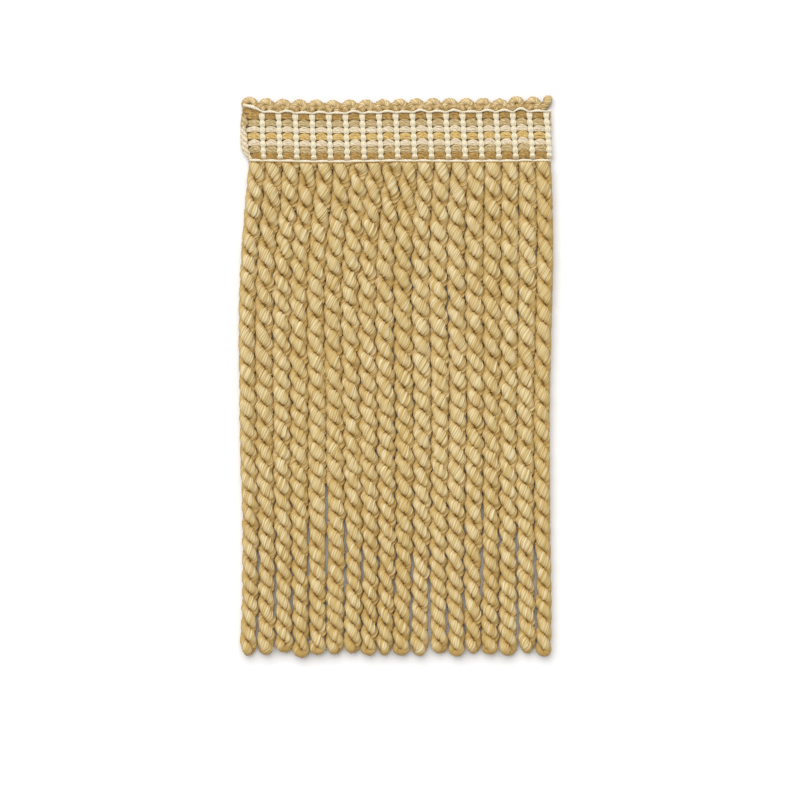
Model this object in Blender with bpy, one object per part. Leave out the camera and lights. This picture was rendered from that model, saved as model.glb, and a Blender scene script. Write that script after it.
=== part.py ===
"""Bullion fringe trim: a cut length of woven heading with a scalloped picot edge and a skirt of
two-ply twisted rope loops, laid flat on its back.

+X runs along the heading, +Y from the skirt up to the scallops, +Z out of the face. The origin is
the middle of the heading's flat back, where the trim is sewn or glued on.
Run it with: blender --background --python part.py
"""

import math
from collections import namedtuple

import bmesh
import bpy
from mathutils import Vector

MM = 0.001
GAP = 0.3 * MM

# The heading: ribs across it, one wide and one narrow to a repeat, and warp rows along it.
REPEATS = 18
HEADING_LEFT = -49.7 * MM
HEADING_RIGHT = 49.7 * MM
FIRST_WIDE_RIB = -46.93 * MM
RIB_PITCH = 5.36 * MM
WARP_ROWS = 7
ROW_PITCH = 2.1 * MM
HEADING_HALF = WARP_ROWS * ROW_PITCH / 2
GROOVE_HEIGHT = 2.3 * MM
EDGE_HEIGHT = 2.0 * MM
# Across one repeat: how far along it, how high over the groove, and how deep the rows cut in.
RIB_SECTION = (
    {"along": 0.0 * MM, "rise": 0.0 * MM, "row_cut": 0.05 * MM},
    {"along": 0.7 * MM, "rise": 0.7 * MM, "row_cut": 0.15 * MM},
    {"along": 2.5 * MM, "rise": 0.7 * MM, "row_cut": 0.15 * MM},
    {"along": 3.2 * MM, "rise": 0.0 * MM, "row_cut": 0.05 * MM},
    {"along": 4.28 * MM, "rise": 0.8 * MM, "row_cut": 0.55 * MM},
)
# Left of the first wide rib there is only one more narrow rib.
END_RIB = {"along": 1.2 * MM, "rise": 0.8 * MM, "row_cut": 0.45 * MM}
# The left end bulges, and its corners are drawn in, the lower one most.
END_REACH = 9.0 * MM
LOWER_CORNER_DRAWN_IN = 2.3 * MM
UPPER_CORNER_DRAWN_IN = 0.45 * MM

# The picot cord: one gimp cord that rises in a scallop over each rib.
SCALLOPS = 18
FIRST_SCALLOP = -46.8 * MM
SCALLOP_PITCH = 5.33 * MM
SCALLOP_CENTRE_Y = 9.75 * MM
SCALLOP_BEND = 1.25 * MM
SCALLOP_RADIUS = 1.12 * MM
SCALLOP_ANGLES = (192, 152, 112, 68, 28, -12)
TROUGH_Y = 8.4 * MM
TROUGH_RADIUS = 0.7 * MM
PICOT_Z = 1.5 * MM
# The cord's right end stands up past the row of scallops.
PICOT_END = (
    {"x": 48.0 * MM, "y": 9.6 * MM, "radius": 0.95 * MM},
    {"x": 48.6 * MM, "y": 11.2 * MM, "radius": 0.95 * MM},
    {"x": 48.9 * MM, "y": 12.7 * MM, "radius": 0.9 * MM},
    {"x": 49.0 * MM, "y": 13.3 * MM, "radius": 0.5 * MM},
)

# The two tie threads, which run along the heading's edges in a shallow wave to each repeat.
THREAD_RADIUS = 0.36 * MM
THREAD_WAVE = 0.14 * MM
THREAD_STEPS = 3
TOP_THREAD = {"y": HEADING_HALF + 0.55 * MM, "z": 2.95 * MM}
FOOT_THREAD = {"y": -HEADING_HALF - 0.45 * MM, "z": 2.75 * MM}

# The strip that the bullions are rooted in, just below the heading.
STRIP_LOW = Vector((-47.3, -9.95, 0.3)) * MM
STRIP_HIGH = Vector((50.1 * MM, -HEADING_HALF - GAP, 1.95 * MM))

# The bullions: ropes of two plies, each made by one yarn that is doubled back at its foot.
# A drop is a distance below the middle of the heading.
FIRST_ROOT = -44.7 * MM
ROOT_PITCH = 5.41 * MM
ROOT_DROP = 9.3 * MM
FOOT_DROP = 166.0 * MM
CREST_RADIUS = 2.66 * MM
WAIST_SHARE = 0.78
AXIS_Z = 2.5 * MM
SECTIONS = 75
# The twist tightens towards the foot, and the sections lie closer by this share there.
TIGHTENING = 0.115
SWAY_DROPS = (ROOT_DROP, 42.0 * MM, 93.0 * MM, 132.0 * MM, 161.0 * MM)
# A row for each bullion, from the left. First its sways in millimetres from straight below the
# root, at the four drops under the root's. Then how far down it reaches, in millimetres. Last its
# bumps, the half turns of twist from the front of the rope, counted at the root, at one third of
# the way down, at two thirds and at the foot.
Bullion = namedtuple("Bullion", "shoulder middle lower foot reach at_root third two_thirds at_foot")
BULLIONS = (
    Bullion(-2.8, -2.8, -2.0, -2.7, 166.1, -0.2, 8.6, 17.6, 27.4),
    Bullion(-2.8, -3.0, -2.0, -2.4, 165.8, -0.2, 7.7, 16.2, 25.6),
    Bullion(-2.8, -3.0, -2.3, -1.9, 165.1, -0.2, 8.5, 17.5, 27.4),
    Bullion(-3.0, -2.8, -2.5, -1.8, 166.7, -0.2, 8.1, 17.2, 26.9),
    Bullion(-3.0, -2.6, -2.3, -2.3, 165.8, -0.1, 8.3, 17.4, 27.1),
    Bullion(-2.9, -2.2, -1.6, -2.2, 165.8, -0.2, 8.5, 17.3, 27.4),
    Bullion(-2.8, -2.2, -1.2, -1.7, 165.4, 0.2, 8.8, 17.7, 27.5),
    Bullion(-2.8, -2.3, -1.5, -1.9, 166.1, -0.1, 8.3, 17.3, 26.8),
    Bullion(-2.6, -2.0, -1.6, -2.3, 166.1, 0.3, 8.0, 16.9, 26.4),
    Bullion(-2.2, -1.5, -1.5, -2.5, 166.1, -0.2, 7.5, 16.3, 25.8),
    Bullion(-1.9, -1.1, -1.4, -2.0, 166.1, -0.2, 8.2, 16.9, 26.5),
    Bullion(-1.7, -0.8, -1.4, -0.9, 165.4, -0.2, 8.1, 17.3, 27.5),
    Bullion(-1.2, -0.6, -1.4, -0.8, 166.4, -0.2, 7.5, 16.1, 25.7),
    Bullion(-0.8, -0.5, -1.0, -1.1, 165.4, -0.2, 8.3, 16.9, 25.4),
    Bullion(-0.4, -0.5, -0.7, -1.2, 165.8, -0.2, 8.1, 16.8, 26.8),
    Bullion(-0.2, -0.6, -0.8, -0.6, 166.1, -0.2, 7.7, 16.2, 26.3),
    Bullion(0.2, -0.6, -0.4, 0.2, 165.4, -0.2, 7.6, 16.0, 25.6),
    Bullion(0.7, -0.4, -0.1, 0.1, 166.4, -0.1, 7.7, 16.2, 25.8),
)
# How a bullion swells out of the strip: the drop, its axis's height, and its share of full size.
ROOT_RINGS = (
    {"drop": 8.55 * MM, "z": 1.5 * MM, "share": 0.3},
    {"drop": 9.25 * MM, "z": 1.8 * MM, "share": 0.62},
    {"drop": 10.35 * MM, "z": 2.25 * MM, "share": 0.9},
)
# How its looped foot rounds off: how far short of its reach, and its share of full size.
FOOT_RINGS = (
    {"short": 1.3 * MM, "share": 1.0},
    {"short": 0.6 * MM, "share": 0.8},
    {"short": 0.0 * MM, "share": 0.4},
)


def clear_scene():
    for obj in list(bpy.data.objects):
        bpy.data.objects.remove(obj, do_unlink=True)


def new_collection(name):
    collection = bpy.data.collections.new(name)
    bpy.context.scene.collection.children.link(collection)
    return collection


def material(name, colour, roughness):
    made = bpy.data.materials.new(name)
    made.use_nodes = True
    shader = made.node_tree.nodes["Principled BSDF"]
    shader.inputs["Base Color"].default_value = (*colour, 1.0)
    shader.inputs["Roughness"].default_value = roughness
    shader.inputs["Metallic"].default_value = 0.0
    return made


def smooth_step(share):
    share = min(1.0, max(0.0, share))
    return share * share * (3 - 2 * share)


def polynomial(places, values, at):
    """The one polynomial through a few values, read at one place."""
    total = 0.0
    for here, value in zip(places, values):
        for other in places:
            if other != here:
                value *= (at - other) / (here - other)
        total += value
    return total


def end_offset(x, y):
    """How far the heading's left end is drawn in here."""
    near_end = smooth_step(1 - (x - HEADING_LEFT) / END_REACH)
    down = smooth_step((0.2 * HEADING_HALF - y) / (1.2 * HEADING_HALF))
    up = smooth_step((y - 0.3 * HEADING_HALF) / HEADING_HALF)
    return near_end * (LOWER_CORNER_DRAWN_IN * down * down + UPPER_CORNER_DRAWN_IN * up)


def heading_columns():
    """Where the heading's face has points along its length: (x, rise over the groove, row cut)."""
    end_drop = EDGE_HEIGHT - GROOVE_HEIGHT
    columns = [(HEADING_LEFT, end_drop, 0.0)]
    columns.append((HEADING_LEFT + END_RIB["along"], END_RIB["rise"], END_RIB["row_cut"]))
    for repeat in range(REPEATS):
        start = FIRST_WIDE_RIB + repeat * RIB_PITCH
        columns += [(start + s["along"], s["rise"], s["row_cut"]) for s in RIB_SECTION]
    columns.append((HEADING_RIGHT, end_drop, 0.0))
    return columns


def heading_braid(collection, finish):
    """The woven band: a grid raised into ribs and warp rows, closed by a flat back."""
    columns = heading_columns()
    across, up = len(columns) - 1, 2 * WARP_ROWS
    mesh = bmesh.new()
    bmesh.ops.create_grid(mesh, x_segments=across, y_segments=up, size=0.5)
    for vertex in mesh.verts:
        column = round((vertex.co.x + 0.5) * across)
        row = round((vertex.co.y + 0.5) * up)
        x, rise, row_cut = columns[column]
        y = (row / up - 0.5) * 2 * HEADING_HALF
        height = GROOVE_HEIGHT + rise - (row_cut if row % 2 == 0 else 0.0)
        if row in (0, up):
            height = min(height, EDGE_HEIGHT)
        vertex.co = (x + end_offset(x, y), y, height)
    rim = [edge for edge in mesh.edges if edge.is_boundary]
    walls = bmesh.ops.extrude_edge_only(mesh, edges=rim)["geom"]
    for vertex in (part for part in walls if isinstance(part, bmesh.types.BMVert)):
        vertex.co.z = 0.0
    bmesh.ops.holes_fill(mesh, edges=[edge for edge in mesh.edges if edge.is_boundary], sides=0)
    bmesh.ops.recalc_face_normals(mesh, faces=mesh.faces)
    return mesh_object("heading_braid", mesh, collection, finish)


def mesh_object(name, mesh, collection, finish):
    """A named object of a bmesh, shaded smooth but for its folds."""
    data = bpy.data.meshes.new(name)
    mesh.to_mesh(data)
    mesh.free()
    data.shade_smooth()
    data.set_sharp_from_angle(angle=math.radians(50))
    data.materials.append(finish)
    obj = bpy.data.objects.new(name, data)
    collection.objects.link(obj)
    return obj


def round_cord(name, sections, resolution, collection, finish):
    """A round cord through sections (x, y, z, radius), as a poly curve with a bevel."""
    curve = bpy.data.curves.new(name, "CURVE")
    curve.dimensions = "3D"
    curve.bevel_depth = 1.0
    curve.bevel_resolution = resolution
    curve.use_fill_caps = True
    spline = curve.splines.new("POLY")
    spline.points.add(len(sections) - 1)
    for point, (x, y, z, radius) in zip(spline.points, sections):
        point.co = (x, y, z, 1.0)
        point.radius = radius
    curve.materials.append(finish)
    obj = bpy.data.objects.new(name, curve)
    collection.objects.link(obj)
    return obj


def picot_cord(collection, finish):
    """The gimp cord along the top, an arch to each scallop and a pinched trough between them."""
    sections = []
    for scallop in range(SCALLOPS):
        centre = FIRST_SCALLOP + scallop * SCALLOP_PITCH
        for angle in SCALLOP_ANGLES:
            x = centre + SCALLOP_BEND * math.cos(math.radians(angle))
            y = SCALLOP_CENTRE_Y + SCALLOP_BEND * math.sin(math.radians(angle))
            sections.append((x, y, PICOT_Z, SCALLOP_RADIUS))
        sections.append((centre + SCALLOP_PITCH / 2, TROUGH_Y, PICOT_Z, TROUGH_RADIUS))
    sections += [(end["x"], end["y"], PICOT_Z, end["radius"]) for end in PICOT_END]
    return round_cord("picot_cord", sections, 1, collection, finish)


def tie_thread(name, place, collection, finish):
    """A thin thread along an edge of the heading, laid over where the edge meets its neighbour."""
    count = REPEATS * THREAD_STEPS
    left = HEADING_LEFT + end_offset(HEADING_LEFT, place["y"])
    sections = []
    for step in range(count + 1):
        x = left + (HEADING_RIGHT - left) * step / count
        wave = THREAD_WAVE * math.cos(2 * math.pi * step / THREAD_STEPS)
        sections.append((x, place["y"] + wave, place["z"], THREAD_RADIUS))
    return round_cord(name, sections, 0, collection, finish)


def axis_x(index, drop):
    """Where a bullion's axis lies along the heading, at a drop."""
    bullion = BULLIONS[index]
    sways = (0.0, bullion.shoulder, bullion.middle, bullion.lower, bullion.foot)
    root = FIRST_ROOT + index * ROOT_PITCH
    return root + MM * polynomial(SWAY_DROPS, sways, min(drop, SWAY_DROPS[-1]))


def half_room(index, drop):
    """How thick a bullion can be here, from its axis, and still stand apart from its neighbours."""
    here = axis_x(index, drop)
    beside = [n for n in (index - 1, index + 1) if 0 <= n < len(BULLIONS)]
    nearest = min(abs(axis_x(n, drop) - here) for n in beside)
    return (nearest - GAP) / 2


def twist_at(index, drop):
    """A bullion's twist at a drop, half a turn to a bump."""
    bullion = BULLIONS[index]
    places = [ROOT_DROP + (FOOT_DROP - ROOT_DROP) * third / 3 for third in range(4)]
    bumps = (bullion.at_root, bullion.third, bullion.two_thirds, bullion.at_foot)
    return math.pi * polynomial(places, bumps, drop)


def bullion_sections(index):
    """A bullion's sections from root to foot: (drop, height of its axis, crest radius)."""
    sections = [(ring["drop"], ring["z"], ring["share"] * CREST_RADIUS) for ring in ROOT_RINGS]
    reach = BULLIONS[index].reach * MM
    start, end = ROOT_RINGS[-1]["drop"], reach - FOOT_RINGS[0]["short"]
    for n in range(1, SECTIONS):
        share = n / SECTIONS
        drop = start + (end - start) * share * (1 + TIGHTENING * (1 - share))
        sections.append((drop, AXIS_Z, min(CREST_RADIUS, half_room(index, drop))))
    last_radius = sections[-1][2]
    sections += [(reach - ring["short"], AXIS_Z, ring["share"] * last_radius) for ring in FOOT_RINGS]
    return sections


def ply_profile(collection):
    """The rope's section: far out at the two plies' crests, and drawn in where they meet."""
    curve = bpy.data.curves.new("ply_profile", "CURVE")
    curve.dimensions = "2D"
    spline = curve.splines.new("POLY")
    spline.points.add(3)
    corners = ((0, 1), (WAIST_SHARE, 0), (0, -1), (-WAIST_SHARE, 0))
    for point, corner in zip(spline.points, corners):
        point.co = (*corner, 0.0, 1.0)
    spline.use_cyclic_u = True
    guide = bpy.data.objects.new("ply_profile", curve)
    return hidden_guide(guide, collection)


def hidden_guide(obj, collection):
    """An object that only shapes others: kept with the cutters, and out of the render."""
    for holder in list(obj.users_collection):
        holder.objects.unlink(obj)
    collection.objects.link(obj)
    obj.hide_render = True
    obj.display_type = "WIRE"
    return obj


def bullion_mesh(index, profile):
    """One bullion as a mesh: the ply section swept down the axis and turned by the twist."""
    sections = bullion_sections(index)
    curve = bpy.data.curves.new("bullion", "CURVE")
    curve.dimensions = "3D"
    curve.twist_mode = "Z_UP"
    curve.bevel_mode = "OBJECT"
    curve.bevel_object = profile
    curve.use_fill_caps = True
    spline = curve.splines.new("POLY")
    spline.points.add(len(sections) - 1)
    for point, (drop, z, radius) in zip(spline.points, sections):
        point.co = (axis_x(index, drop), -drop, z, 1.0)
        point.tilt = -twist_at(index, max(drop, ROOT_DROP))
        point.radius = radius
    sweep = bpy.data.objects.new("bullion", curve)
    bpy.context.scene.collection.objects.link(sweep)
    graph = bpy.context.evaluated_depsgraph_get()
    data = bpy.data.meshes.new_from_object(sweep.evaluated_get(graph))
    bpy.data.objects.remove(sweep, do_unlink=True)
    return data


def root_strip(collection):
    """The strip that the bullions' roots are fused into."""
    bpy.ops.mesh.primitive_cube_add(size=1.0)
    strip = bpy.context.active_object
    strip.name = "root_strip"
    strip.location = (STRIP_LOW + STRIP_HIGH) / 2
    strip.scale = STRIP_HIGH - STRIP_LOW
    return hidden_guide(strip, collection)


def bullion_skirt(collection, cutters, finish):
    """All the bullions, level on the surface they lie on, fused at their roots into one strip."""
    profile = ply_profile(cutters)
    mesh = bmesh.new()
    for index in range(len(BULLIONS)):
        mesh.from_mesh(bullion_mesh(index, profile))
    bmesh.ops.remove_doubles(mesh, verts=mesh.verts, dist=0.01 * MM)
    for vertex in mesh.verts:
        vertex.co.z = max(0.0, vertex.co.z)
    bmesh.ops.recalc_face_normals(mesh, faces=mesh.faces)
    bmesh.ops.triangulate(mesh, faces=mesh.faces, quad_method="SHORT_EDGE")
    skirt = mesh_object("bullion_skirt", mesh, collection, finish)
    union = skirt.modifiers.new("rooted in the strip", "BOOLEAN")
    union.operation = "UNION"
    union.solver = "EXACT"
    union.object = root_strip(cutters)
    return skirt


def main():
    clear_scene()
    trim = new_collection("bullion_fringe_trim")
    cutters = new_collection("cutters")
    straw = material("straw_rope", (0.60, 0.45, 0.22), 0.6)
    woven = material("woven_heading", (0.66, 0.53, 0.32), 0.7)
    gimp = material("tan_gimp", (0.50, 0.34, 0.14), 0.6)
    cream = material("cream_thread", (0.86, 0.81, 0.66), 0.7)
    heading_braid(trim, woven)
    picot_cord(trim, gimp)
    tie_thread("top_thread", TOP_THREAD, trim, cream)
    tie_thread("foot_thread", FOOT_THREAD, trim, cream)
    bullion_skirt(trim, cutters, straw)


main()
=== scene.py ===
"""The looks of a cut length of bullion fringe, lying flat on a pale floor and seen from above.

Every strand is a mesh that is swept along its own line: the ropes of the skirt, the striped warp
of the heading, its white ladder stitches, the gimp of the scalloped edge and the tie threads.
Lengths are in metres, +X runs along the heading, +Y up to the scallops and +Z out of the face.
"""

import math
from collections import namedtuple

import bpy
import numpy as np
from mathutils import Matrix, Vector


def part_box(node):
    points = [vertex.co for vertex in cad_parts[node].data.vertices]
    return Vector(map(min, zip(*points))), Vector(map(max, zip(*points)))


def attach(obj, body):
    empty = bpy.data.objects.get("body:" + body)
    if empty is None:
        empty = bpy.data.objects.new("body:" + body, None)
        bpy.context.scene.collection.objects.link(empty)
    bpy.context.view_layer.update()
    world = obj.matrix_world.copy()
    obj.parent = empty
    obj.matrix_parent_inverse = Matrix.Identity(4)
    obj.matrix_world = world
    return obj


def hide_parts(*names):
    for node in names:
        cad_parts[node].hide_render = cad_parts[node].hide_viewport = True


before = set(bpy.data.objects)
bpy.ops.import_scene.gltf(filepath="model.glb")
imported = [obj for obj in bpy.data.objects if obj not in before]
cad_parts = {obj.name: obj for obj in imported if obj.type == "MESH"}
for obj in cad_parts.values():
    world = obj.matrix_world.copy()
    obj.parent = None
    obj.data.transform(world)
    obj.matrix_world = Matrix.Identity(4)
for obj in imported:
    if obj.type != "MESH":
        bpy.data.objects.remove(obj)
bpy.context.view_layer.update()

MM = 0.001
UP = np.array((0.0, 0.0, 1.0))

# The heading, as its solid has it: 18 ladder stitches across it, and a left end that is drawn in at
# its corners.
heading_low, heading_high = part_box("heading_braid")
LEFT_END, RIGHT_END = heading_low.x, heading_high.x
HEADING_HALF = heading_high.y
LADDERS = 18
FIRST_LADDER = -42.6 * MM
LADDER_PITCH = 5.36 * MM
END_REACH = 9.0 * MM
LOWER_CORNER_DRAWN_IN = 2.3 * MM
UPPER_CORNER_DRAWN_IN = 0.45 * MM
# The warp rows from the top edge down: the dye of each, its middle, its number of ends and how
# strongly its floats arch. The ends lie flat where a ladder stitch ties them and rise in between.
WARP_ROWS = ("brown", "taupe", "cream", "gold", "cream", "taupe", "brown")
ROW_MIDDLES = np.array((6.55, 4.3, 2.2, 0.0, -2.3, -4.4, -6.4)) * MM
ROW_ENDS = (5, 5, 4, 5, 4, 5, 6)
ROW_ARCHES = (0.7, 0.65, 0.9, 1.05, 1.5, 1.7, 1.1)
WARP_END_PITCH = 0.465 * MM
WARP_HALF_WIDE = 0.26 * MM
WARP_HALF_THICK = 0.23 * MM
TIED_Z = 1.9 * MM
FLOAT_RISE = 0.75 * MM
# A ladder stitch is four picks side by side, and leans more toward the heading's right end.
PICKS = 4
PICK_PITCH = 0.46 * MM
LADDER_Z = 2.65 * MM
BEAD_RISE = 0.4 * MM
LEAST_LEAN = 0.03
MORE_LEAN = 0.05
# The trim is laid by hand, so its heading sags this much along its length, in millimetres, and
# each float arches up by its own amount.
SAG_PLACES = (-50.0, -40.0, -27.0, -14.0, 0.0, 15.0, 35.0, 50.0)
SAGS = (-0.5, -0.65, -0.9, -0.9, -0.6, -0.5, -0.45, -0.2)
ARCHES = (0.4, 0.4, 0.8, 0.3, 0.55, 0.25, 0.9, 0.3, 0.6, 0.3, 0.9, 0.5, 0.8, 0.25, 0.8, 0.8, 1.3,
          0.3, 0.4)

# The scallops of the picot edge, in millimetres: places round one of them (x from its middle line, y,
# z and the cord's radius), how far each one stands up, and the cord's end that stands up at the right.
SCALLOPS = 18
FIRST_SCALLOP = -46.8 * MM
SCALLOP_PITCH = 5.33 * MM
SCALLOP = ((-1.05, 8.3, 1.5, 1.0), (-1.6, 9.65, 1.6, 1.07), (-0.95, 10.55, 1.75, 1.12),
           (0.0, 10.85, 1.85, 1.12), (0.95, 10.55, 1.75, 1.12), (1.6, 9.65, 1.6, 1.07),
           (1.05, 8.3, 1.5, 1.0))
SCALLOP_LIFTS = (0.5, 0.0, -0.2, -0.3, -0.4, -0.55, -0.4, -0.4, -0.3,
                 -0.15, 0.0, 0.1, 0.1, 0.05, 0.1, -0.1, 0.65, 0.5)
GIMP_END = ((47.2, 9.2, 1.4, 1.2), (48.0, 10.2, 1.5, 1.4), (48.5, 11.3, 1.7, 1.45),
            (48.7, 12.2, 1.8, 1.3), (48.75, 12.8, 1.8, 0.7))
TROUGH_Y = 8.0 * MM
TROUGH_Z = 1.2 * MM
TROUGH_RADIUS = 0.75 * MM
GIMP_YARNS = 5
GIMP_LEAD = 3.3 * MM
GIMP_GROOVES = 0.1
# Below this height the gimp is painted darker, as painted shade.
GIMP_CREST_Z = 2.75 * MM
# The straight core cord behind the scallops.
CORE_ENDS = (-47.8 * MM, 47.6 * MM)
CORE_Y = 9.45 * MM
CORE_Z = 1.2 * MM
CORE_HALF_WIDE = 1.25 * MM
CORE_HALF_THICK = 1.15 * MM

# The bullions, with the same sways, reaches and twists as their solid. A drop is a distance below
# the heading's middle. For each bullion: its sways to the right of its root at the four lower sway
# drops and the drop of its foot, in millimetres, and then its half turns of twist at its root, at a
# third and two thirds of the way down and at its foot.
FIRST_ROOT = -44.7 * MM
ROOT_PITCH = 5.41 * MM
ROOT_DROP = 9.3 * MM
FOOT_DROP = 166.0 * MM
SWAY_DROPS = (ROOT_DROP, 42.0 * MM, 93.0 * MM, 132.0 * MM, 161.0 * MM)
Bullion = namedtuple("Bullion", "shoulder middle lower foot reach at_root third two_thirds at_foot")
BULLIONS = (
    Bullion(-2.8, -2.8, -2.0, -2.7, 166.1, -0.2, 8.6, 17.6, 27.4),
    Bullion(-2.8, -3.0, -2.0, -2.4, 165.8, -0.2, 7.7, 16.2, 25.6),
    Bullion(-2.8, -3.0, -2.3, -1.9, 165.1, -0.2, 8.5, 17.5, 27.4),
    Bullion(-3.0, -2.8, -2.5, -1.8, 166.7, -0.2, 8.1, 17.2, 26.9),
    Bullion(-3.0, -2.6, -2.3, -2.3, 165.8, -0.1, 8.3, 17.4, 27.1),
    Bullion(-2.9, -2.2, -1.6, -2.2, 165.8, -0.2, 8.5, 17.3, 27.4),
    Bullion(-2.8, -2.2, -1.2, -1.7, 165.4, 0.2, 8.8, 17.7, 27.5),
    Bullion(-2.8, -2.3, -1.5, -1.9, 166.1, -0.1, 8.3, 17.3, 26.8),
    Bullion(-2.6, -2.0, -1.6, -2.3, 166.1, 0.3, 8.0, 16.9, 26.4),
    Bullion(-2.2, -1.5, -1.5, -2.5, 166.1, -0.2, 7.5, 16.3, 25.8),
    Bullion(-1.9, -1.1, -1.4, -2.0, 166.1, -0.2, 8.2, 16.9, 26.5),
    Bullion(-1.7, -0.8, -1.4, -0.9, 165.4, -0.2, 8.1, 17.3, 27.5),
    Bullion(-1.2, -0.6, -1.4, -0.8, 166.4, -0.2, 7.5, 16.1, 25.7),
    Bullion(-0.8, -0.5, -1.0, -1.1, 165.4, -0.2, 8.3, 16.9, 25.4),
    Bullion(-0.4, -0.5, -0.7, -1.2, 165.8, -0.2, 8.1, 16.8, 26.8),
    Bullion(-0.2, -0.6, -0.8, -0.6, 166.1, -0.2, 7.7, 16.2, 26.3),
    Bullion(0.2, -0.6, -0.4, 0.2, 165.4, -0.2, 7.6, 16.0, 25.6),
    Bullion(0.7, -0.4, -0.1, 0.1, 166.4, -0.1, 7.7, 16.2, 25.8),
)
# On the surface the bullions settle to the right by so much at these drops, and those with these
# numbers, counted from 0, by these shares of it. A rope's bumps slant, so where it has moved they
# come a little lower.
SETTLED_DROPS = np.array((9.0, 16.0, 26.0, 36.0, 46.0, 66.0, 86.0, 100.0, 166.0)) * MM
SETTLED = np.array((0.3, 0.9, 1.15, 0.85, 0.5, 0.6, 0.55, 0.2, 0.1)) * MM
SETTLED_SHARES = ((0, 2, 6, 11, 17), (0.45, 1.0, 1.0, 0.35, -0.2))
BUMPS_LOWER = 0.25 / MM
# How far the skirt's outer sides lie from the first and the last axis, in half root pitches.
LEFT_SIDE = 0.91
RIGHT_SIDE = 0.76
# The bullions are twisted slackly in their upper half and firmly toward the foot.
FIRM_FROM = 100 * MM
FIRM_WITHIN = 45 * MM
FIRM_SIZE = 0.965
ROPE_Z = 2.7 * MM
HEAD_DROP = 7.6 * MM
BEND_TO_FOOT = 2.4 * MM
# How unevenly a bullion lies: the longest wave and the size, for the angle of its twist, its axis to
# the side and in height, and its yarn's size.
ANGLE_WANDER = (31 * MM, 0.32)
SIDE_WANDER = (37 * MM, 0.12 * MM)
HEIGHT_WANDER = (23 * MM, 0.3 * MM)
SIZE_WANDER = (13 * MM, 0.085)
# A ply is an oval, widest round the rope's axis and so far beside and over it; its yarns are wound
# round it. It is plumpest where it crosses the rope's face and spreads where it lies on the
# surface, both less so toward the foot.
PLY_OFF_AXIS = 1.42 * MM
PLY_RISE = 1.2 * MM
PLY_HALF_WIDE = 1.55 * MM
PLY_HALF_THICK = 1.5 * MM
FACE_SPREAD = 0.36
FACE_SWELL = 0.1
BACK_SPREAD = 0.75
CREST_Z = ROPE_Z + PLY_RISE + PLY_HALF_THICK * (1 + FACE_SWELL)
FOOT_BEND = 1.1 * MM
# Painted shade: the creases between the plies are painted darker within this share of the rope's
# radius from its axis, and the rope's sides within this depth below its crest.
CREASE_REACH = 0.56
CREASE_SHADE = 0.67
CREST_HEIGHT = 0.7 * MM
SIDE_DEPTH = 2.4 * MM
SIDE_SHADE = 0.5
# A bullion's side reaches past the middle between it and its neighbour by the nesting at most, and
# flattens softly over the last stretch before that. The middle gives way toward the slimmer of the
# two. Beside a slit both stand back by the parting.
SOFTNESS = 0.3 * MM
NESTING = 0.4 * MM
GIVE = 0.45 * MM
PARTING = 0.72 * MM
# The slits between two bullions: the left one's number, counted from 0, and the drops that the slit
# runs from and to, in millimetres. A slit's ends taper, and start a little outside these drops.
SLITS = ((0, 132, 140), (0, 152, 161), (1, 140, 154), (2, 144, 152), (3, 124, 131), (3, 134, 141),
         (4, 111, 124), (4, 127, 139), (5, 122, 133), (5, 137, 145), (6, 131, 143), (8, 142, 147),
         (9, 133, 142), (9, 147, 156), (10, 141, 161), (11, 149, 160), (12, 146, 152), (13, 117, 123),
         (13, 131, 148), (14, 126, 132), (15, 126, 134), (15, 148, 160), (16, 131, 147), (16, 150, 158))
SLIT_OUTSIDE = 1.2
SLIT_TAPER = 3
ROPE_YARN_LEAD = 4.1 * MM
ROPE_GROOVES = (0.16, 0.05, 0.08, 0.05, 0.12, 0.04, 0.07)
# The foot thread presses the bullions' heads down: heights at drops below the heading's middle.
PRESSED_DROPS = np.array((7.2, 7.6, 8.0, 8.8)) * MM
PRESSED_HEIGHTS = np.array((1.3, 3.9, 3.9, 6.6)) * MM
# The two yarns that run on under the bullions' heads: y, z and radius in millimetres.
ROOT_YARNS = ((-8.6, 2.0, 0.85), (-9.9, 1.2, 0.95))
ROOT_YARN_ENDS = (-46.8 * MM, 49.4 * MM)

# The camera looks straight down on the middle of the picture.
VIEW_CENTRE = (1.28 * MM, -84.5 * MM)
VIEW_WIDTH = 256.0 * MM
LENS = 200.0
SENSOR = 36.0
FLOOR_SIZE = 6.0
FLOOR_BELOW = 0.05 * MM
SKY_STRENGTH = 0.5
SUN_STRENGTH = 2.55
SUN_SPREAD = math.radians(60)
SUN_DIRECTION = Vector((0.35, -0.85, -1.6))


def smooth_step(share):
    """An even ease from 0 to 1 as the share goes from 0 to 1."""
    share = np.clip(share, 0.0, 1.0)
    return share * share * (3 - 2 * share)


def polynomial(places, values, at):
    """The one polynomial through a few values, read at many places."""
    total = 0.0
    for here, value in zip(places, values):
        for other in places:
            if other != here:
                value = value * (at - other) / (here - other)
        total = total + value
    return total


def through(points, steps):
    """The smooth line through rows of numbers, with so many steps from each row to the next."""
    rows = np.array([points[0], *points, points[-1]], float)
    line = []
    for before, start, end, after in zip(rows, rows[1:], rows[2:], rows[3:]):
        for step in range(steps):
            t = step / steps
            line.append(start + 0.5 * t * (end - before + t * (
                2 * before - 5 * start + 4 * end - after + t * (3 * (start - end) + after - before))))
    return np.array([*line, rows[-1]])


def wander(rng, places, longest, size):
    """A gentle unevenness along a strand: three waves, each shorter and smaller than the last."""
    shares = (1.0, 0.6, 0.36)
    total = np.zeros(len(places))
    for octave, share in enumerate(shares):
        wave = longest / 2.1 ** octave
        total += share * np.sin(2 * math.pi * (places / wave + rng.random()))
    return size * total / sum(shares)


def unit(rows):
    """The rows as directions of length 1."""
    return rows / np.linalg.norm(rows, axis=-1, keepdims=True)


def lengths_along(line):
    """How far along a line each of its points lies."""
    return np.concatenate(([0.0], np.cumsum(np.linalg.norm(np.diff(line, axis=0), axis=1))))


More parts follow.
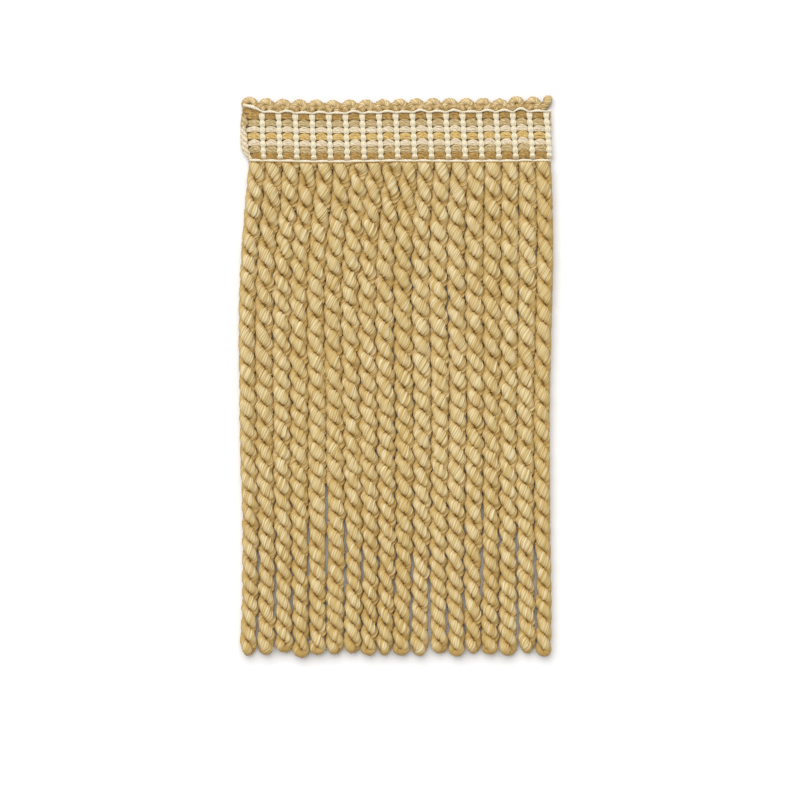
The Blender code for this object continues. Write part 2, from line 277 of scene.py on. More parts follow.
def rows_of(*columns):
    """Columns side by side as rows of numbers; a column may be one value or several for all rows."""
    count = max(len(column) for column in columns if np.ndim(column))
    wide = [np.broadcast_to(column, (count, 3)) if np.shape(column) in ((3,), (count, 3))
            else np.broadcast_to(column, count)[:, None] for column in columns]
    return np.concatenate(wide, axis=1)


def evenly(rows, step):
    """The same rows spaced evenly, about a step apart, along the line of their first three numbers."""
    along = lengths_along(rows[:, :3])
    places = np.linspace(0, along[-1], max(3, round(along[-1] / step) + 1))
    return np.stack([np.interp(places, along, column) for column in rows.T], axis=1)


class Strand:
    """A strand swept along rows of place, outward direction, half width and half thickness.

    Its yarns wind round it once in each lead, each with a groove point and so many points in all
    across it. The rings are so spaced that one side of the section follows one yarn. Relief is the
    depth of the grooves as a share of the size, one for all of them or one for each. First_yarn
    tells the strand's yarns from those of its neighbours, so that each has a shade of its own."""

    def __init__(self, rows, yarns, lead, relief, first_yarn=0, points=3):
        self.sides = points * yarns
        self.first_yarn = first_yarn
        self.points = points
        rows = evenly(rows, lead / self.sides)
        line, outward, wide, thick = rows[:, :3], rows[:, 3:6], rows[:, 6, None], rows[:, 7, None]
        self.along = lengths_along(line)
        tangent = unit(np.gradient(line, axis=0))
        outward = unit(outward - tangent * np.sum(tangent * outward, axis=1, keepdims=True))
        across = np.cross(tangent, outward)
        corner, ring = np.meshgrid(np.arange(self.sides), np.arange(len(line)))
        turn = 2 * math.pi * (corner - ring) / self.sides
        yarn = corner // points
        grooves = np.broadcast_to(relief, yarns)
        along = self.along[:, None] / MM
        # Each yarn swells and thins in two waves along the strand, at places of its own.
        uneven = np.sin(2.7 * yarn + along / 1.9) + np.sin(4.1 * yarn - along / 0.83)
        depth = np.where(corner % points == 0, 1 - grooves[yarn], 1.0)
        depth = depth * (1 + 0.5 * grooves.mean() * uneven)
        self.corners = (line[:, None] + (wide * np.cos(turn) * depth)[..., None] * across[:, None]
                        + (thick * np.sin(turn) * depth)[..., None] * outward[:, None])

    def faces(self, first):
        """The quads round the strand and its two end faces, and each face corner's place on it."""
        rings, sides = self.corners.shape[:2]
        ring, side = (grid.ravel() for grid in np.meshgrid(np.arange(rings - 1), np.arange(sides)))
        after = (side + 1) % sides
        quads = first + np.stack((ring * sides + side, (ring + 1) * sides + side,
                                  (ring + 1) * sides + after, ring * sides + after), axis=1)
        u = np.stack((side, side, side + 1, side + 1), axis=1) / self.points + self.first_yarn
        v = self.along[np.stack((ring, ring + 1, ring + 1, ring), axis=1)] / MM
        last = first + (rings - 1) * sides
        ends = [list(range(first, first + sides)), list(range(last + sides - 1, last - 1, -1))]
        end_places = np.tile((self.first_yarn + 0.5, 0.0), (2 * sides, 1))
        return quads.tolist() + ends, np.concatenate((np.stack((u.ravel(), v.ravel()), axis=1), end_places))


def add_piece(name, mesh, finish, node):
    """A smooth object on the trim that stands for one of its solids, or for a part of it."""
    mesh.shade_smooth()
    mesh.set_sharp_from_angle(angle=math.radians(60))
    mesh.materials.append(finish)
    piece = bpy.data.objects.new(name, mesh)
    bpy.context.scene.collection.objects.link(piece)
    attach(piece, "root")
    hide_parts(node)
    return piece


def add_strands(name, strands, finish, node, painted_shade=None):
    """One object of several strands, none of which dips below the surface that the trim lies on.

    The last argument, if given, is the painted shade of each of their corners, from 0 to 1: darker in
    creases and low down, where shade falls."""
    corners, faces, places, first = [], [], [], 0
    for strand in strands:
        own_faces, own_places = strand.faces(first)
        corners.append(strand.corners.reshape(-1, 3))
        faces += own_faces
        places.append(own_places)
        first += len(corners[-1])
    corners = np.concatenate(corners)
    corners[:, 2] = np.maximum(corners[:, 2], 0.0)
    mesh = bpy.data.meshes.new(name)
    mesh.from_pydata(corners.tolist(), [], faces)
    mesh.uv_layers.new(name="yarn").data.foreach_set("uv", np.concatenate(places).ravel())
    # The painted shade goes on the mesh for its material to read.
    if painted_shade is not None:
        mesh.attributes.new("painted_shade", "FLOAT", "POINT").data.foreach_set("value", painted_shade.ravel())
    return add_piece(name, mesh, finish, node)


def settled(index, drops):
    """How far to the right a bullion has settled, at drops below the heading's middle."""
    return np.interp(drops, SETTLED_DROPS, SETTLED) * np.interp(index, *SETTLED_SHARES)


def axis_x(index, drops):
    """Where a bullion's axis lies along the heading, at drops below the heading's middle."""
    bullion = BULLIONS[index]
    sways = (0.0, bullion.shoulder, bullion.middle, bullion.lower, bullion.foot)
    root = FIRST_ROOT + index * ROOT_PITCH
    inside = np.clip(drops, SWAY_DROPS[0], SWAY_DROPS[-1])
    return root + MM * polynomial(SWAY_DROPS, sways, inside) + settled(index, drops)


def twist_at(index, drops):
    """A bullion's twist at drops, half a turn to a bump."""
    bullion = BULLIONS[index]
    places = [ROOT_DROP + (FOOT_DROP - ROOT_DROP) * third / 3 for third in range(4)]
    bumps = (bullion.at_root, bullion.third, bullion.two_thirds, bullion.at_foot)
    return math.pi * (polynomial(places, bumps, drops) - BUMPS_LOWER * settled(index, drops))


def slack(drops):
    """How slack the bullions are twisted: 1 in their upper half, 0 near the foot."""
    return 1 - smooth_step((drops - FIRM_FROM) / FIRM_WITHIN)


def when_firm(factor, drops):
    """A factor that is 1 where the bullions are slack and falls to its own value where they are firm."""
    return factor + (1 - factor) * slack(drops)


def breadth(index, drops):
    """How broad a bullion is here: 1 where its plies lie side by side, 0 where one covers the other."""
    return np.sin(twist_at(index, drops)) ** 2


def room_beside(index, neighbour, drops):
    """Half the way from a bullion's axis to its neighbour's, and more where the neighbour is slimmer."""
    if 0 <= neighbour < len(BULLIONS):
        half_way = abs(axis_x(neighbour, drops) - axis_x(index, drops)) / 2
        broader = breadth(index, drops) - breadth(neighbour, drops)
        return half_way + GIVE * when_firm(0.4, drops) * broader
    side = LEFT_SIDE if neighbour < index else RIGHT_SIDE
    return np.full(drops.shape, side * ROOT_PITCH / 2)


def parting(gap, drops):
    """How far two bullions stand back from the middle between them, where a slit shows."""
    back = np.zeros(drops.shape)
    for left, start, end in SLITS:
        if left == gap:
            inside = (end - start) / 2 - abs(drops / MM - (start + end) / 2)
            back = np.maximum(back, PARTING * smooth_step((inside + SLIT_OUTSIDE) / SLIT_TAPER))
    return back


def squeezed(index, corners):
    """A bullion's corners, spread where it has room and pressed in softly where it has none."""
    drops = -corners[..., 1]
    here = axis_x(index, drops)
    offset = corners[..., 0] - here
    on_left = offset < 0
    room = np.where(on_left, room_beside(index, index - 1, drops), room_beside(index, index + 1, drops))
    stands_back = np.where(on_left, parting(index - 1, drops), parting(index, drops))
    free = room + NESTING - stands_back - SOFTNESS
    wide = abs(offset) * np.clip(room / (ROOT_PITCH / 2), 0.85, 1.1)
    pressed = np.minimum(wide, free) + SOFTNESS * (1 - np.exp(-np.maximum(wide - free, 0) / SOFTNESS))
    return np.stack((here + np.sign(offset) * pressed, corners[..., 1], corners[..., 2]), axis=-1)


def winding_yarn(index):
    """Where a bullion's one yarn lies: it winds down, bends round at the foot and winds back up.

    Gives the yarn's places, which way lies out of the rope at each of them, and its size there."""
    rng = np.random.default_rng(40 + index)
    head = HEAD_DROP - sag(FIRST_ROOT + index * ROOT_PITCH)
    drops = np.linspace(head, BULLIONS[index].reach * MM - BEND_TO_FOOT, 640)
    size = when_firm(FIRM_SIZE, drops)
    angle = math.pi / 2 - twist_at(index, drops) + wander(rng, drops, *ANGLE_WANDER)
    x = axis_x(index, drops) + wander(rng, drops, *SIDE_WANDER)
    z = ROPE_Z + wander(rng, drops, *HEIGHT_WANDER)
    axis = np.stack((x, -drops, z), axis=1)
    away = np.stack((np.cos(angle), np.zeros(len(drops)), np.sin(angle)), axis=1)
    off = size[:, None] * away * (PLY_OFF_AXIS, 0, PLY_RISE)
    bend = np.linspace(0, math.pi, 14)[1:-1, None]
    down = np.array((0.0, -1.0, 0.0))
    loop = axis[-1] + np.cos(bend) * off[-1] + FOOT_BEND * np.sin(bend) * down
    loop_away = np.cos(bend) * away[-1] + np.sin(bend) * down
    line = np.concatenate((axis + off, loop, (axis - off)[::-1]))
    outward = np.concatenate((away, loop_away, -away[::-1]))
    size = np.concatenate((size, np.full(len(bend), size[-1]), size[::-1]))
    return line, outward, size * (1 + wander(rng, lengths_along(line), *SIZE_WANDER))


def painted_crease_shade(index, corners):
    """How much painted shade a rope's corners get, from 0 to 1: toward its axis in the creases between the
    plies, and down its sides.
    """
    beside = (corners[..., 0] - axis_x(index, -corners[..., 1])) / (PLY_OFF_AXIS + PLY_HALF_THICK)
    over = (corners[..., 2] - ROPE_Z) / (PLY_RISE + PLY_HALF_THICK)
    toward_axis = np.clip((1.0 - np.hypot(beside, over)) / CREASE_REACH, 0, 1)
    down_side = np.clip((CREST_Z - CREST_HEIGHT - corners[..., 2]) / SIDE_DEPTH, 0, 1)
    return 1 - (1 - CREASE_SHADE * toward_axis) * (1 - SIDE_SHADE * down_side)


def bullion(index, finish):
    """A rope of two plies, pressed between its neighbours and under the foot thread."""
    line, outward, size = winding_yarn(index)
    on_face = np.maximum(outward[:, 2], 0) ** 1.5 * when_firm(0.6, -line[:, 1])
    on_back = np.maximum(-outward[:, 2], 0) * when_firm(0.65, -line[:, 1])
    wide = PLY_HALF_WIDE * size * (1 + FACE_SPREAD * on_face + BACK_SPREAD * on_back)
    rows = rows_of(line, outward, wide, PLY_HALF_THICK * size * (1 + FACE_SWELL * on_face))
    yarns = len(ROPE_GROOVES)
    strand = Strand(rows, yarns, ROPE_YARN_LEAD, ROPE_GROOVES, index * yarns, points=2)
    corners = squeezed(index, strand.corners)
    below_thread = sag(corners[..., 0]) - corners[..., 1]
    highest = np.interp(below_thread, PRESSED_DROPS, PRESSED_HEIGHTS)
    corners[..., 2] = np.minimum(corners[..., 2], highest)
    strand.corners = corners
    # Painted shade, darker in the rope's creases and down its sides.
    painted_shade = painted_crease_shade(index, corners)
    return add_strands(f"bullion_{index + 1:02d}", [strand], finish, "bullion_skirt", painted_shade)


def root_yarns(finish):
    """The yarn that runs on from one bullion to the next, under the heading's lower edge."""
    strands = []
    x = np.arange(*ROOT_YARN_ENDS, 0.45 * MM)
    for middle, z, radius in ROOT_YARNS:
        y = middle * MM + sag(x) / 2 + 0.12 * MM * np.sin(2 * math.pi * x / ROOT_PITCH)
        line = np.stack((x, y, np.full(len(x), z * MM)), axis=1)
        strands.append(Strand(rows_of(line, UP, radius * MM, radius * MM), 4, 3.4 * MM, 0.12))
    return add_strands("root_yarns", strands, finish, "bullion_skirt")


def end_offset(x, y):
    """How far the heading's left end is drawn in here."""
    near_end = smooth_step(1 - (x - LEFT_END) / END_REACH)
    down = smooth_step((0.2 * HEADING_HALF - y) / (1.2 * HEADING_HALF))
    up = smooth_step((y - 0.3 * HEADING_HALF) / HEADING_HALF)
    return near_end * (LOWER_CORNER_DRAWN_IN * down ** 4 + UPPER_CORNER_DRAWN_IN * up)


def sag(x):
    """How far the heading has sagged here."""
    return MM * np.interp(x / MM, SAG_PLACES, SAGS)


def lean(x, y):
    """How far a ladder stitch leans to the right here: more toward the heading's right end."""
    return -y * (LEAST_LEAN + MORE_LEAN * (x - LEFT_END) / (RIGHT_END - LEFT_END))


def float_share(x, y=0.0):
    """How freely the warp floats here: 0 where a ladder stitch ties it down, 1 midway between two."""
    steps = (x - lean(x, y) - FIRST_LADDER) / LADDER_PITCH
    return np.sin(math.pi * (steps - np.floor(steps))) ** 1.5


def arch(x, y=0.0, least=0.0, share=1.0):
    """How far a float arches up here: a least height for them all and a share of its own."""
    steps = (x - lean(x, y) - FIRST_LADDER) / LADDER_PITCH
    own = np.array(ARCHES)[np.clip(np.floor(steps).astype(int) + 1, 0, len(ARCHES) - 1)]
    return (least + share * own) * MM * float_share(x, y)


def warp_row(row, finish):
    """One stripe of the heading: fine ends side by side, pinched under each ladder stitch."""
    rng = np.random.default_rng(200 + row)
    strands = []
    middle = ROW_MIDDLES[row]
    for end in range(ROW_ENDS[row]):
        stop = RIGHT_END + MM * rng.uniform(-0.4, 0.1 + 0.06 * row)
        x = np.arange(LEFT_END + 0.15 * MM, stop, 0.3 * MM)
        free = float_share(x, middle)
        side = end - (ROW_ENDS[row] - 1) / 2
        spread = side * WARP_END_PITCH * (0.55 + 0.45 * free)
        arched = ROW_ARCHES[row] * arch(x, middle, 0.3, 0.45)
        y = middle + sag(x) + spread + arched + wander(rng, x, 11 * MM, 0.1 * MM)
        rounded = 0.05 * MM * side ** 2
        z = TIED_Z + FLOAT_RISE * free - rounded + wander(rng, x, 7 * MM, 0.1 * MM)
        z -= 1.2 * MM * smooth_step((LEFT_END + 1.2 * MM - x) / (1.2 * MM))
        line = np.stack((x + end_offset(x, y), y, z), axis=1)
        rows = rows_of(line, UP, WARP_HALF_WIDE, WARP_HALF_THICK)
        strands.append(Strand(rows, 2, 3.0 * MM, 0.14, 2 * end))
    name = f"warp_{row + 1}_{WARP_ROWS[row]}"
    return add_strands(name, strands, finish, "heading_braid")


def ladder(number, finish):
    """One column of white stitches: picks that swell into a bead over each warp row."""
    rng = np.random.default_rng(300 + number)
    place = FIRST_LADDER + number * LADDER_PITCH
    y = np.linspace(ROW_MIDDLES[-1] - 0.75 * MM, ROW_MIDDLES[0] + 1.25 * MM, 90)
    row = np.interp(y, ROW_MIDDLES[::-1], np.arange(len(ROW_MIDDLES))[::-1])
    over = (0.5 + 0.5 * np.cos(2 * math.pi * row)) ** 0.8
    low = np.interp(y, (y[0], y[0] + MM, y[-1] - MM, y[-1]), (1, 0, 0, 1))
    strands = []
    for pick in range(PICKS):
        side = pick - (PICKS - 1) / 2
        x = place + lean(place, y) + side * PICK_PITCH * (0.62 + 0.38 * over)
        x = x + end_offset(x, y) + wander(rng, y, 6 * MM, 0.07 * MM)
        z = LADDER_Z + BEAD_RISE * over - 0.07 * MM * side ** 2 - 1.1 * MM * low
        size = (0.25 + 0.05 * over) * MM
        rows = rows_of(np.stack((x, y + sag(place), z), axis=1), UP, size, size)
        strands.append(Strand(rows, 2, 1.8 * MM, 0.1, 2 * pick))
    return add_strands(f"ladder_{number + 1:02d}", strands, finish, "heading_braid")


def end_turn(name, top, bottom, finish):
    """Warp ends that turn down the heading's left edge, apart in the middle and close at their ends."""
    strands = []
    y = np.linspace(top, bottom, 60)
    share = np.sin(np.linspace(0, math.pi, len(y)))
    edge = LEFT_END + 0.2 * MM + end_offset(LEFT_END, y)
    for turn in range(5):
        lump = np.sin(2 * math.pi * (y / (1.9 * MM) + 0.21 * turn))
        spread = 0.46 * MM * turn * (0.35 + 0.65 * share)
        x = edge + spread + 0.3 * MM * (1 - share ** 0.5) + 0.08 * MM * lump
        z = 1.4 * MM + 0.28 * MM * turn + 0.3 * MM * share + 0.15 * MM * lump
        size = 0.31 * MM * (1 + 0.32 * lump)
        rows = rows_of(np.stack((x, y + sag(LEFT_END), z), axis=1), UP, size, size)
        strands.append(Strand(rows, 2, 2.4 * MM, 0.12, 2 * turn))
    return add_strands(name, strands, finish, "heading_braid")


def end_fold(finish):
    """The soft yarn that fills the heading's upper left corner, under the raised thread."""
    x = np.linspace(LEFT_END + 0.7 * MM, FIRST_LADDER + 0.4 * MM, 24)
    share = (x - x[0]) / (x[-1] - x[0])
    z = 1.5 * MM + 0.5 * MM * np.sin(math.pi * share)
    strands = []
    for fold in range(2):
        y = (8.9 - 0.75 * fold) * MM - 0.75 * MM * share + sag(x)
        line = np.stack((x, y, z), axis=1)
        strands.append(Strand(rows_of(line, UP, 0.5 * MM, 0.5 * MM), 3, 2.6 * MM, 0.1, 3 * fold))
    return add_strands("end_fold", strands, finish, "heading_braid")


def tie_thread(name, y, z, arch_share, left_rise, right_fall, node, finish):
    """A thread along an edge of the heading, at this y and z, that swells between the ladders.

    It takes this share of the floats' arches; its left end rises and its right half falls so far."""
    start = LEFT_END + 0.5 * MM + end_offset(LEFT_END, y)
    x = np.arange(start, RIGHT_END, 0.3 * MM)
    free = float_share(x, y)
    rise = np.clip((FIRST_LADDER + 0.8 * MM - x) / (6.4 * MM), 0, 1)
    fall = np.clip((x + 5 * MM) / (25 * MM), 0, 1)
    height = y + sag(x) + arch(x, y, 0.0, arch_share) + left_rise * rise - right_fall * fall
    size = (0.24 + 0.22 * free) * MM + 0.1 * left_rise * rise
    rows = rows_of(np.stack((x, height, z + 0.1 * MM * free), axis=1), UP, size, size)
    strand = Strand(rows, 2, 1.8 * MM, 0.12)
    return add_strands(name, [strand], finish, node)


def picot_gimp(finish):
    """The gimp cord of the scalloped edge, an arch to each scallop and pinched in between, on its core."""
    places = []
    for scallop in range(SCALLOPS):
        centre = FIRST_SCALLOP + scallop * SCALLOP_PITCH
        lift = SCALLOP_LIFTS[scallop] * MM
        places += [(centre + x * MM, y * MM + lift, z * MM, r * MM) for x, y, z, r in SCALLOP]
        places.append((centre + SCALLOP_PITCH / 2, TROUGH_Y, TROUGH_Z, TROUGH_RADIUS))
    places += [tuple(value * MM for value in row) for row in GIMP_END]
    line = through(places, 5)
    scalloped = rows_of(line[:, :3], UP, line[:, 3], line[:, 3])
    x = np.arange(*CORE_ENDS, 0.5 * MM)
    line = np.stack((x, CORE_Y + 0.3 * sag(x), np.full(len(x), CORE_Z)), axis=1)
    core = rows_of(line, UP, CORE_HALF_WIDE, CORE_HALF_THICK)
    cords = [Strand(rows, GIMP_YARNS, GIMP_LEAD, GIMP_GROOVES) for rows in (scalloped, core)]
    heights = np.concatenate([cord.corners[..., 2].ravel() for cord in cords])
    # Painted shade: the gimp is darker the lower it lies below that height.
    painted_shade = 0.9 * np.clip((GIMP_CREST_Z - heights) / (1.5 * MM), 0, 1)
    return add_strands("picot_gimp", cords, finish, "picot_cord", painted_shade)


def heading_ground(finish):
    """The woven ground under the floats: a thin ribbed sheet with a flat back, closed round its rim."""
    x = np.arange(LEFT_END + 0.3 * MM, RIGHT_END - 0.1 * MM, 0.67 * MM)
    y = np.linspace(-HEADING_HALF + 0.25 * MM, HEADING_HALF - 0.1 * MM, 29)
    over, down = np.meshgrid(x, y, indexing="ij")
    ribs = 0.1 * MM * np.cos(2 * math.pi * down / (2.1 * MM))
    top = 1.4 * MM + 0.3 * MM * float_share(over, down) + ribs
    corners = np.stack((over + end_offset(over, down), down + sag(over), top), axis=-1).reshape(-1, 3)
    below = corners * (1, 1, 0)
    count = len(x) * len(y)
    grid = np.arange(count).reshape(len(x), len(y))
    quads = np.stack((grid[:-1, :-1], grid[1:, :-1], grid[1:, 1:], grid[:-1, 1:]), axis=-1).reshape(-1, 4)
    rim = np.concatenate((grid[:, 0], grid[-1, 1:], grid[-2::-1, -1], grid[0, -2:0:-1]))
    after = np.roll(rim, -1)
    walls = np.stack((rim + count, after + count, after, rim), axis=1)
    faces = np.concatenate((quads, quads[:, ::-1] + count, walls))
    mesh = bpy.data.meshes.new("heading_ground")
    mesh.from_pydata(np.concatenate((corners, below)).tolist(), [], faces.tolist())
    return add_piece("heading_ground", mesh, finish, "heading_braid")


def add_node(tree, kind, *values, **settings):
    """A shader node with its settings and its first inputs filled in, by a number or a socket."""
    node = tree.nodes.new("ShaderNode" + kind)
    for name, value in settings.items():
        setattr(node, name, value)
    for socket, value in zip([socket for socket in node.inputs if socket.enabled], values):
        feed(tree, socket, value)
    return node


def feed(tree, socket, value):
    """Link an input to a socket, or give it a plain value."""
    if isinstance(value, bpy.types.NodeSocket):
        tree.links.new(value, socket)
    else:
        socket.default_value = value


def maths(tree, operation, *values, clamp=False):
    """What a Math node makes of some values or sockets."""
    return add_node(tree, "Math", *values, operation=operation, use_clamp=clamp).outputs[0]


def blend(tree, share, first, second):
    """A colour that goes from the first to the second as the share goes from 0 to 1."""
    return add_node(tree, "Mix", share, first, second, data_type="RGBA").outputs[2]


def group_sockets(tree, in_out, kind, **defaults):
    """Named inputs or outputs of a node group, each with its default value if it has one."""
    for name, value in defaults.items():
        made = tree.interface.new_socket(name, in_out=in_out, socket_type="NodeSocket" + kind)
        if value is not None:
            made.default_value = value


def spun_yarn_group():
    """How spun yarn varies along and across a strand: its tone, its fibres, and its grooves as a mask for
    painted shade.

    The place across counts the strand's yarns, and the place along is in millimetres."""
    tree = bpy.data.node_groups.new("spun yarn", "ShaderNodeTree")
    group_sockets(tree, "INPUT", "Float", Streaks=3.0, Drift=0.28)
    group_sockets(tree, "OUTPUT", "Float", Tone=None, Fibre=None, Groove=None)
    given, out = tree.nodes.new("NodeGroupInput"), tree.nodes.new("NodeGroupOutput")
    place = add_node(tree, "SeparateXYZ", add_node(tree, "UVMap", uv_map="yarn").outputs["UV"])
    across, along = place.outputs["X"], place.outputs["Y"]
    own = add_node(tree, "TexWhiteNoise", maths(tree, "FLOOR", across), noise_dimensions="1D")
    streak_place = add_node(tree, "CombineXYZ", maths(tree, "MULTIPLY", across, given.outputs["Streaks"]),
                            maths(tree, "MULTIPLY", along, given.outputs["Drift"]), 0.0)
    streak = add_node(tree, "TexNoise", streak_place.outputs[0], 1.0, 3.0, 0.6)
    fibre_place = add_node(tree, "CombineXYZ", maths(tree, "MULTIPLY", across, 9.0),
                           maths(tree, "MULTIPLY", along, 0.9), 0.0)
    fibre = add_node(tree, "TexNoise", fibre_place.outputs[0], 1.0, 3.0, 0.6)
    tone = maths(tree, "MULTIPLY_ADD", own.outputs["Value"], 0.5, -1.3)
    tone = maths(tree, "MULTIPLY_ADD", streak.outputs["Fac"], 3.0, tone, clamp=True)
    # The grooves between the yarns, each deeper or shallower at random: a mask for painted shade.
    middle = maths(tree, "SUBTRACT", maths(tree, "FRACT", across), 0.5)
    groove = maths(tree, "POWER", maths(tree, "MULTIPLY", maths(tree, "ABSOLUTE", middle), 2.0), 2.5)
    nearest = maths(tree, "FLOOR", maths(tree, "ADD", across, 0.5))
    its_number = maths(tree, "MULTIPLY", nearest, 1.37)
    its_depth = add_node(tree, "TexWhiteNoise", its_number, noise_dimensions="1D").outputs["Value"]
    groove = maths(tree, "MULTIPLY", groove, maths(tree, "MULTIPLY_ADD", its_depth, 1.4, 0.3))
    for name, socket in (("Tone", tone), ("Fibre", fibre.outputs["Fac"]), ("Groove", groove)):
        tree.links.new(socket, out.inputs[name])
    return tree


def dyed_colour_and_shade_group():
    """The colour of dyed yarn, body and pale by its tone, with painted shade: drawn toward a shade colour
    in its grooves and creases.
    """
    tree = bpy.data.node_groups.new("dyed colour and painted shade", "ShaderNodeTree")
    group_sockets(tree, "INPUT", "Color", Deep=None, Body=None, Pale=None)
    group_sockets(tree, "INPUT", "Float", Tone=0.5, Groove=0.0, Hollow=0.0)
    group_sockets(tree, "OUTPUT", "Color", Color=None)
    given, out = tree.nodes.new("NodeGroupInput").outputs, tree.nodes.new("NodeGroupOutput")
    # Painted shade in creases and low down: it lowers the tone, and further down draws the colour toward
    # the shade colour.
    shade = maths(tree, "MULTIPLY", given["Hollow"], 0.8)
    crest = maths(tree, "SUBTRACT", given["Tone"], shade, clamp=True)
    face = blend(tree, crest, given["Body"], given["Pale"])
    # Painted shade in the grooves between the yarns: the colour drawn halfway toward the shade colour.
    groove_shaded = blend(tree, maths(tree, "MULTIPLY", given["Groove"], 0.5), face, given["Deep"])
    deep = maths(tree, "MULTIPLY", maths(tree, "POWER", given["Hollow"], 1.3), 0.9)
    tree.links.new(blend(tree, deep, groove_shaded, given["Deep"]), out.inputs["Color"])
    return tree


def plain_material(name, roughness):
    """A material with its node tree and its Principled shader, matt and hardly glossy."""
    made = bpy.data.materials.new(name)
    made.use_nodes = True
    shader = made.node_tree.nodes["Principled BSDF"]
    shader.inputs["Roughness"].default_value = roughness
    shader.inputs["Specular IOR Level"].default_value = 0.2
    return made, made.node_tree, shader


def yarn_material(name, deep, body, pale, streaks=3.0):
    """A finish for spun yarn: the body and pale of one dye, a colour for painted shade in its grooves and
    creases, and so many streaks across each yarn.
    """
    made, tree, shader = plain_material(name, 0.65)
    shader.inputs["Sheen Weight"].default_value = 0.06
    shader.inputs["Sheen Roughness"].default_value = 0.5
    spun_yarn = add_node(tree, "Group", node_tree=SPUN_YARN)
    feed(tree, spun_yarn.inputs["Streaks"], streaks)
    spun = spun_yarn.outputs
    # The painted shade of the creases and low sides, read from the mesh.
    painted_shade = add_node(tree, "Attribute", attribute_name="painted_shade").outputs["Fac"]
    colour = add_node(tree, "Group", node_tree=DYED_COLOUR_AND_SHADE)
    for socket, value in (("Deep", (*deep, 1)), ("Body", (*body, 1)), ("Pale", (*pale, 1)),
                          ("Tone", spun["Tone"]), ("Groove", spun["Groove"]), ("Hollow", painted_shade)):
        feed(tree, colour.inputs[socket], value)
    tree.links.new(colour.outputs["Color"], shader.inputs["Base Color"])
    add_bump(tree, shader, 0.12 * MM, spun["Fibre"])
    return made


def add_bump(tree, shader, distance, height):
    """Fine relief on a material, so deep where the height is 1."""
    bump = tree.nodes.new("ShaderNodeBump")
    for socket, value in (("Strength", 0.5), ("Distance", distance), ("Height", height)):
        feed(tree, bump.inputs[socket], value)
    tree.links.new(bump.outputs["Normal"], shader.inputs["Normal"])


def ground_material():
    """The heading's ground weave: brown ribs crossed by fine warp."""
    made, tree, shader = plain_material("woven ground", 0.8)
    place = add_node(tree, "TexCoord").outputs["Object"]
    weft = add_node(tree, "TexWave", place, 620.0, 1.2, 2.0)
    warp = add_node(tree, "TexWave", place, 760.0, 1.0, bands_direction="Y")
    weave = maths(tree, "MULTIPLY", weft.outputs["Fac"], warp.outputs["Fac"])
    colour = blend(tree, weave, (0.30, 0.19, 0.08, 1), (0.55, 0.42, 0.22, 1))
    tree.links.new(colour, shader.inputs["Base Color"])
    add_bump(tree, shader, 0.2 * MM, weave)
    return made


def floor_and_light():
    """A pale floor, an even sky and one broad soft light from beyond the top of the picture."""
    bpy.ops.mesh.primitive_plane_add(size=FLOOR_SIZE, location=(0, 0, -FLOOR_BELOW))
    floor = bpy.context.active_object
    floor.name = "floor"
    paint, _, shader = plain_material("pale floor", 0.9)
    shader.inputs["Base Color"].default_value = (0.9, 0.9, 0.9, 1)
    floor.data.materials.append(paint)
    world = bpy.data.worlds.new("studio")
    bpy.context.scene.world = world
    world.use_nodes = True
    sky = world.node_tree.nodes["Background"]
    sky.inputs["Color"].default_value = (1, 1, 1, 1)
    sky.inputs["Strength"].default_value = SKY_STRENGTH
    sun = bpy.data.objects.new("key light", bpy.data.lights.new("key light", "SUN"))
    sun.data.energy = SUN_STRENGTH
    sun.data.angle = SUN_SPREAD
    sun.rotation_euler = SUN_DIRECTION.to_track_quat("-Z", "Y").to_euler()
    bpy.context.scene.collection.objects.link(sun)
    bpy.context.scene.view_settings.view_transform = "Standard"


def camera():
    """A long lens that looks straight down on the trim."""
    eye = bpy.data.objects.new("camera", bpy.data.cameras.new("camera"))
    eye.data.lens = LENS
    eye.data.sensor_width = SENSOR
    eye.data.clip_start = 0.01
    eye.location = (*VIEW_CENTRE, VIEW_WIDTH * LENS / SENSOR)
    bpy.context.scene.collection.objects.link(eye)
    bpy.context.scene.camera = eye


SPUN_YARN = spun_yarn_group()
DYED_COLOUR_AND_SHADE = dyed_colour_and_shade_group()
# Each finish gets the colour of its painted shade, then body and pale, and for some the streaks across each
# yarn.
straw = yarn_material("straw yarn", (0.39, 0.22, 0.05), (0.55, 0.39, 0.135), (0.80, 0.69, 0.43), 1.5)
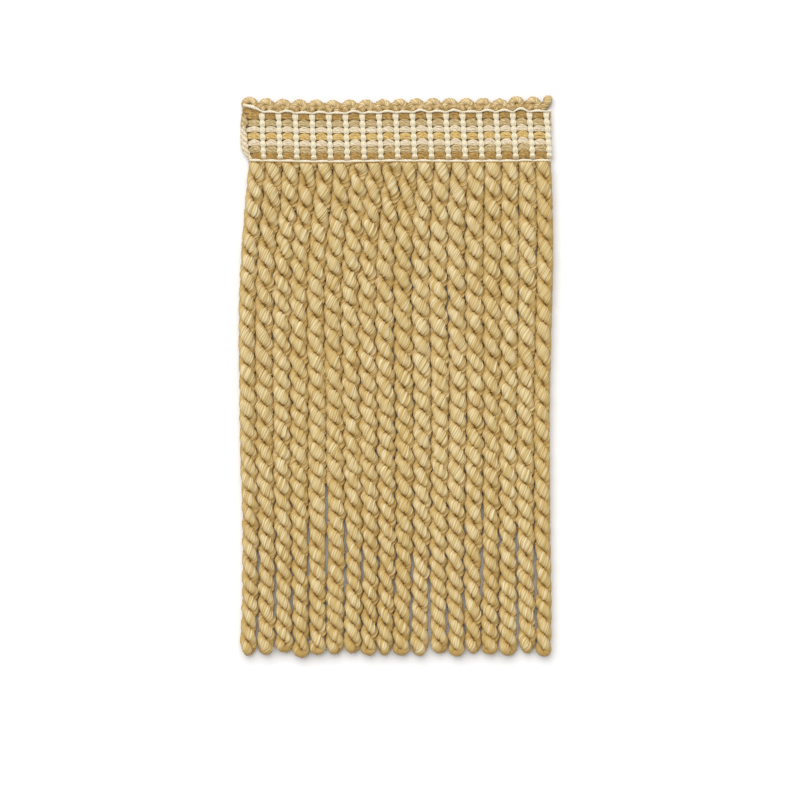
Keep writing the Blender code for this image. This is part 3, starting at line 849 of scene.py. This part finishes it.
# The root yarns are the ropes' own yarn, painted a darker golden brown as painted shade under the heading's
# lower edge.
root_yarn_in_shade = yarn_material("root yarn in painted shade", (0.22, 0.11, 0.02), (0.46, 0.28, 0.08), (0.66, 0.45, 0.16))
tan_gimp = yarn_material("tan gimp", (0.22, 0.11, 0.022), (0.52, 0.355, 0.13), (0.92, 0.75, 0.45))
white_pick = yarn_material("white pick", (0.56, 0.44, 0.25), (0.80, 0.72, 0.50), (0.92, 0.86, 0.70))
white_thread = yarn_material("white thread", (0.56, 0.46, 0.30), (0.84, 0.75, 0.55), (0.95, 0.89, 0.74))
# The warp's dyes, each as the colour of its painted shade, then body, then pale.
WARP_DYES_AND_SHADE = {
    "brown": ((0.14, 0.07, 0.014), (0.36, 0.20, 0.05), (0.64, 0.43, 0.15)),
    "taupe": ((0.26, 0.165, 0.065), (0.48, 0.34, 0.145), (0.74, 0.60, 0.34)),
    "cream": ((0.46, 0.34, 0.18), (0.73, 0.59, 0.38), (0.90, 0.82, 0.65)),
    "gold": ((0.35, 0.185, 0.03), (0.59, 0.37, 0.085), (0.84, 0.66, 0.31)),
}
warp = {dye: yarn_material(f"{dye} warp", *shades, 1.6) for dye, shades in WARP_DYES_AND_SHADE.items()}

ground = heading_ground(ground_material())
on_heading = [warp_row(row, warp[dye]) for row, dye in enumerate(WARP_ROWS)]
on_heading += [ladder(number, white_pick) for number in range(LADDERS)]
on_heading += [
    end_turn("taupe_end_turn", 6.6 * MM, 2.6 * MM, warp["taupe"]),
    end_turn("cream_end_turn", 3.4 * MM, -7.0 * MM, warp["cream"]),
    end_fold(warp["brown"]),
    tie_thread("top_tie_thread", 7.95 * MM, 3.0 * MM, 0.8, 2.2 * MM, 0.0, "top_thread", white_thread),
    tie_thread("foot_tie_thread", -7.5 * MM, 4.4 * MM, 0.15, 0.0, 0.3 * MM, "foot_thread", white_thread),
    picot_gimp(tan_gimp),
]
root_yarns(root_yarn_in_shade)
for number in range(len(BULLIONS)):
    bullion(number, straw)
floor_and_light()
camera()
